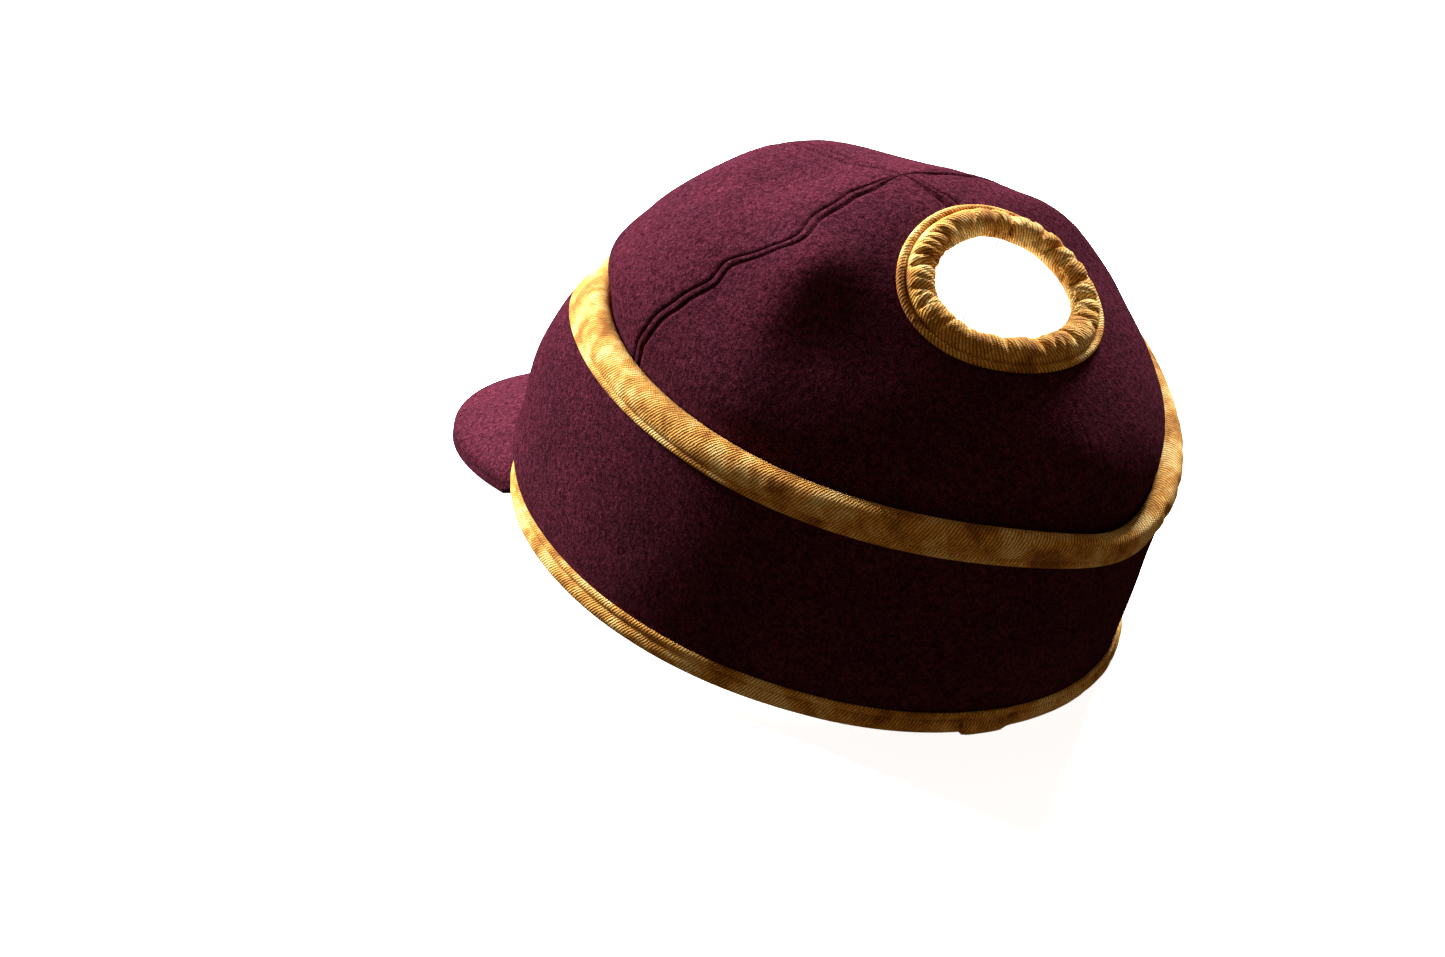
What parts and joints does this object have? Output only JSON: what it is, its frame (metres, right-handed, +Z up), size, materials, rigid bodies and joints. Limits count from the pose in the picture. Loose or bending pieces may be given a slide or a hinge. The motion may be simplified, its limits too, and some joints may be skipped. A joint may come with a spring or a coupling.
{
  "type": "wool ponytail cap",
  "caption": "Brimmed wool cap with a pull-down earband, twill-bound edges and a gathered ponytail opening at the rear of the crown.",
  "frame": {"origin": "middle of the footprint, on the surface that the cap stands on with the front of its visor and its rear rim", "axes": "+Z up; -Y towards the front (the visor); +X towards the wearer's left"},
  "size_m": [0.1826, 0.2903, 0.1454],
  "materials": {
    "wool": "matt, napped",
    "twill": "matt, diagonal weave",
    "lining": "satin",
    "facing": "matt",
    "elastic": "matt",
    "board": "matt"
  },
  "bodies": {
    "cap": {"crown_panel_front_left": "wool", "crown_panel_front_right": "wool", "crown_panel_rear_left": "wool", "crown_panel_rear_right": "wool", "lining_front_left": "lining", "lining_front_right": "lining", "lining_rear_left": "lining", "lining_rear_right": "lining", "sweatband": "facing", "ponytail_binding": "twill", "ponytail_elastic": "elastic", "visor_top_cloth": "wool", "visor_board": "board", "visor_under_cloth": "wool", "earband_outer_front": "wool", "earband_facing_front": "facing", "earband_top_binding_front": "twill", "earband_bottom_binding_front": "twill"},
    "earband": {"earband_outer_rear": "wool", "earband_facing_rear": "facing", "earband_top_binding_rear": "twill", "earband_bottom_binding_rear": "twill"}
  },
  "joints": [
    {"name": "earband_turn_down", "type": "hinge", "parent": "cap", "child": "earband", "pos_m": [0, -0.05511, 0.06999], "axis": [-1, 0, 0], "range_deg": [0, 8]}
  ]
}
